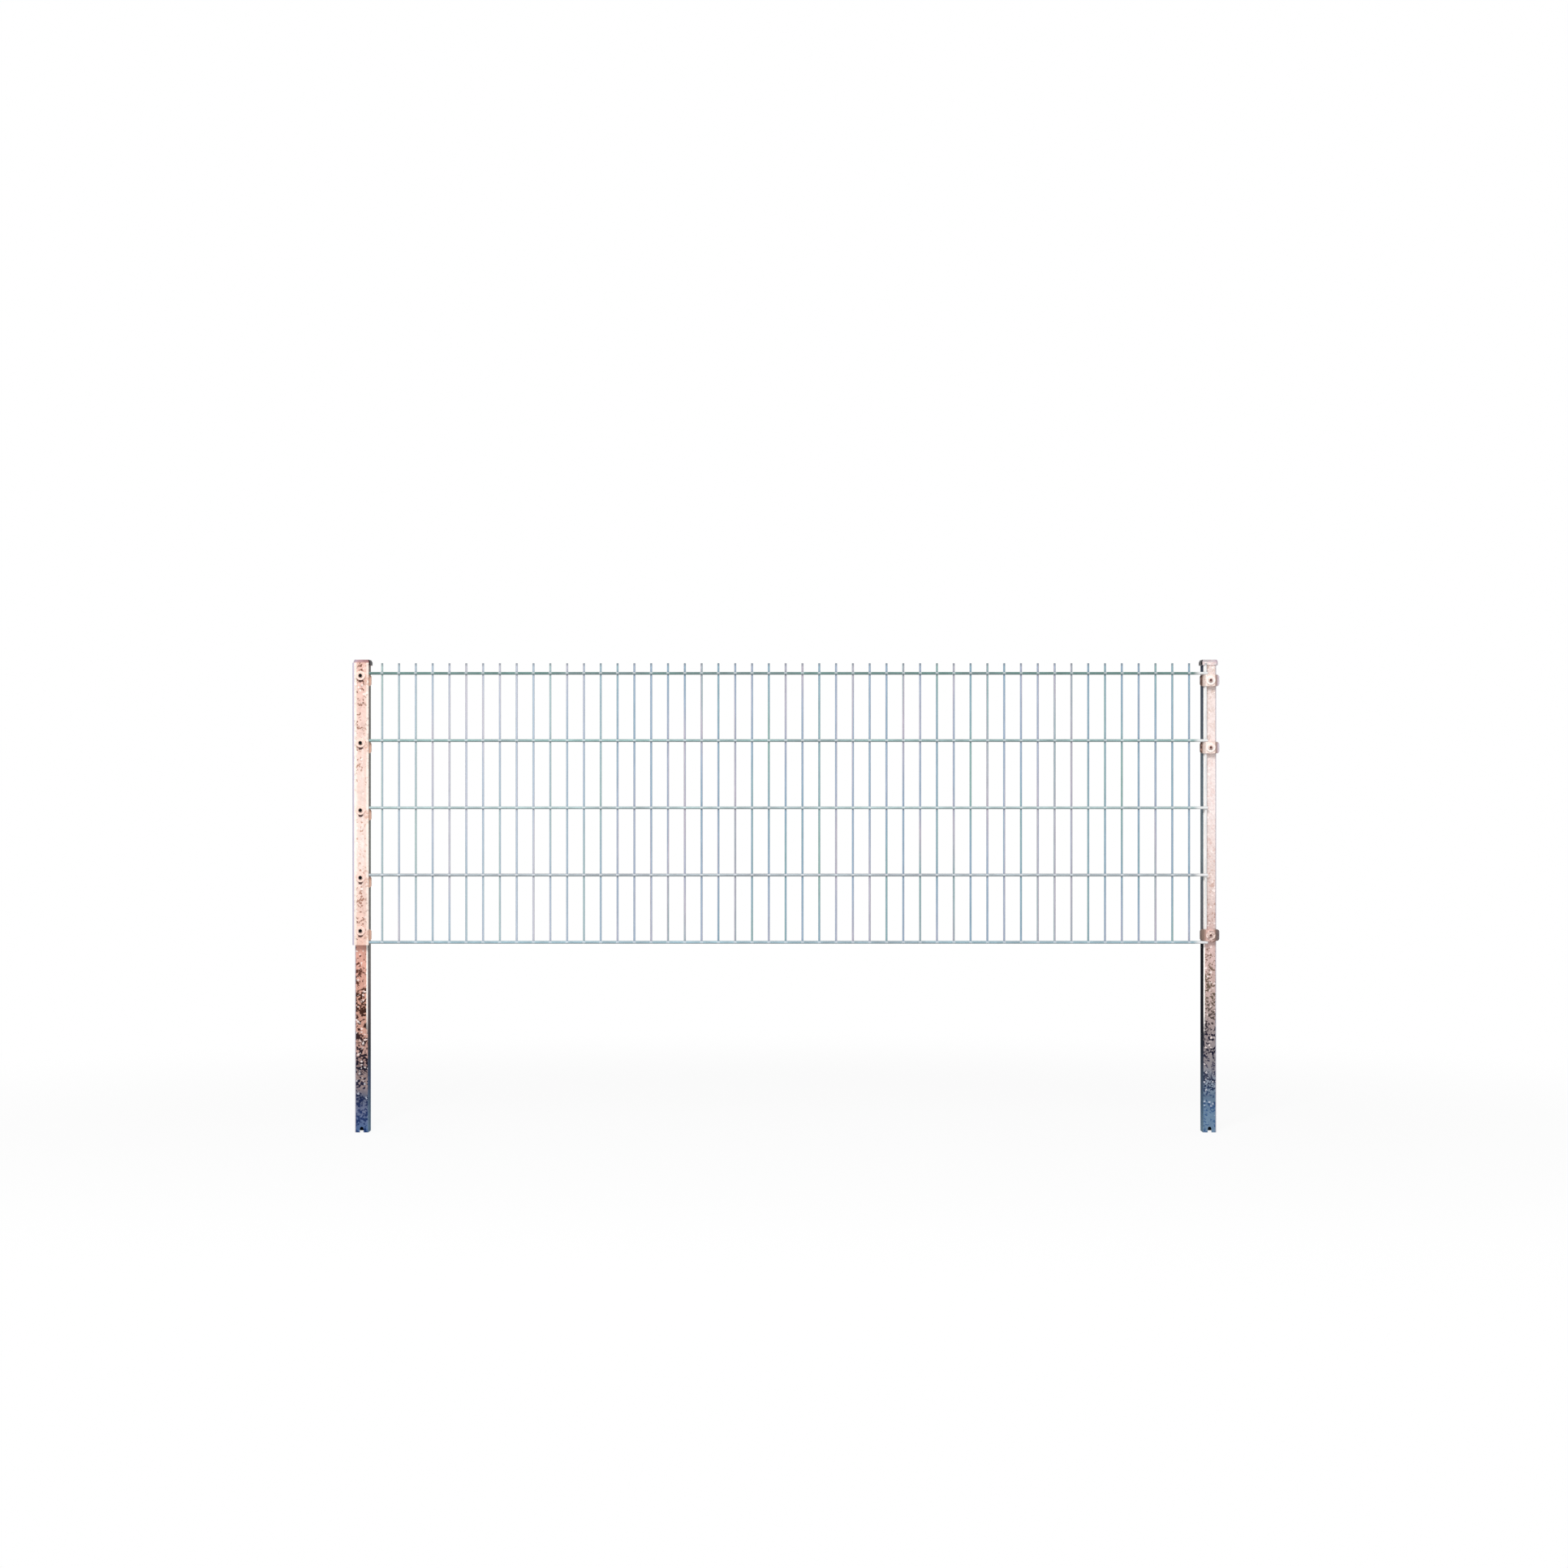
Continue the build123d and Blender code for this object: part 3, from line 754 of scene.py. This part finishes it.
weld_zinc = weld_material("weld_zinc")
for row in range(1, ROW_COUNT + 1):
    weld_beads(row, weld_zinc)


# Floor: pale, white further off, with the object's soft shadow near its feet
FLOOR_HALF = 60.0
FLOOR_GREY = grey(0.90)
FLOOR_WHITE_NEAR = 0.90
FLOOR_FADE_START = 1.5
FLOOR_FADE_END = 4.0


def floor_material():
    material = bpy.data.materials.new("floor")
    material.use_nodes = True
    tree = material.node_tree
    tree.nodes.clear()
    output = tree.nodes.new("ShaderNodeOutputMaterial")
    lit = tree.nodes.new("ShaderNodeBsdfDiffuse")
    lit.inputs["Color"].default_value = FLOOR_GREY
    white = tree.nodes.new("ShaderNodeEmission")
    white.inputs["Strength"].default_value = 1.0
    path = tree.nodes.new("ShaderNodeLightPath")
    place = tree.nodes.new("ShaderNodeTexCoord")
    distance = tree.nodes.new("ShaderNodeVectorMath")
    distance.operation = "LENGTH"
    tree.links.new(place.outputs["Object"], distance.inputs[0])
    fade = tree.nodes.new("ShaderNodeMapRange")
    fade.interpolation_type = "SMOOTHSTEP"
    fade.inputs["From Min"].default_value = FLOOR_FADE_START
    fade.inputs["From Max"].default_value = FLOOR_FADE_END
    fade.inputs["To Min"].default_value = FLOOR_WHITE_NEAR
    tree.links.new(distance.outputs["Value"], fade.inputs["Value"])
    seen = tree.nodes.new("ShaderNodeMath")
    seen.operation = "MAXIMUM"
    tree.links.new(path.outputs["Is Camera Ray"], seen.inputs[0])
    tree.links.new(path.outputs["Is Glossy Ray"], seen.inputs[1])
    share = tree.nodes.new("ShaderNodeMath")
    share.operation = "MULTIPLY"
    tree.links.new(seen.outputs[0], share.inputs[0])
    tree.links.new(fade.outputs["Result"], share.inputs[1])
    blend = tree.nodes.new("ShaderNodeMixShader")
    tree.links.new(share.outputs[0], blend.inputs[0])
    tree.links.new(lit.outputs[0], blend.inputs[1])
    tree.links.new(white.outputs[0], blend.inputs[2])
    tree.links.new(blend.outputs[0], output.inputs["Surface"])
    return material


bpy.ops.mesh.primitive_plane_add(size=2 * FLOOR_HALF, location=(0.0, 0.0, 0.0))
floor = bpy.context.object
floor.name = "floor"
floor.data.materials.append(floor_material())

# World: white where it is seen or mirrored, softer as light
AMBIENT = 0.45


def studio_world():
    world = bpy.data.worlds.new("studio")
    world.use_nodes = True
    tree = world.node_tree
    tree.nodes.clear()
    output = tree.nodes.new("ShaderNodeOutputWorld")
    backdrop = tree.nodes.new("ShaderNodeBackground")
    path = tree.nodes.new("ShaderNodeLightPath")
    seen = None
    for ray in ("Is Camera Ray", "Is Glossy Ray", "Is Transmission Ray"):
        if seen is None:
            seen = path.outputs[ray]
            continue
        either = tree.nodes.new("ShaderNodeMath")
        either.operation = "MAXIMUM"
        tree.links.new(seen, either.inputs[0])
        tree.links.new(path.outputs[ray], either.inputs[1])
        seen = either.outputs[0]
    strength = tree.nodes.new("ShaderNodeMapRange")
    strength.inputs["To Min"].default_value = AMBIENT
    strength.inputs["To Max"].default_value = 1.0
    tree.links.new(seen, strength.inputs["Value"])
    backdrop.inputs["Color"].default_value = grey(1.0)
    tree.links.new(strength.outputs["Result"], backdrop.inputs["Strength"])
    tree.links.new(backdrop.outputs[0], output.inputs["Surface"])
    return world


bpy.context.scene.world = studio_world()


# Soft key light from above, in front and a little to the left
def area_light(name, place, target, size, power):
    data = bpy.data.lights.new(name, "AREA")
    data.size = size
    data.energy = power
    made = bpy.data.objects.new(name, data)
    made.location = place
    made.rotation_mode = "QUATERNION"
    made.rotation_quaternion = (Vector(target) - Vector(place)).to_track_quat("-Z", "Y")
    bpy.context.scene.collection.objects.link(made)


OBJECT_MIDDLE = (0.0, -0.04, 0.75)
KEY_PLACE = (-0.9, -7.2, 5.4)
KEY_SIZE = 2.5
KEY_POWER = 480.0
area_light("key", KEY_PLACE, OBJECT_MIDDLE, KEY_SIZE, KEY_POWER)

# Camera straight in front, level, at the photograph's distance and height
IMAGE_SIDE = 1932
MM_PER_PIXEL = 2.4144
CAMERA_DISTANCE = 9.5
CAMERA_HEIGHT = 1.0377
CAMERA_X = -0.0049
SENSOR_WIDTH = 36.0

camera_data = bpy.data.cameras.new("camera")
camera_data.sensor_width = SENSOR_WIDTH
camera_data.lens = SENSOR_WIDTH * CAMERA_DISTANCE / (IMAGE_SIDE * MM_PER_PIXEL / 1000)
camera = bpy.data.objects.new("camera", camera_data)
camera.location = (CAMERA_X, OBJECT_MIDDLE[1] - CAMERA_DISTANCE, CAMERA_HEIGHT)
camera.rotation_euler = (math.pi / 2, 0.0, 0.0)
bpy.context.scene.collection.objects.link(camera)
bpy.context.scene.camera = camera
bpy.context.scene.view_settings.view_transform = "Standard"
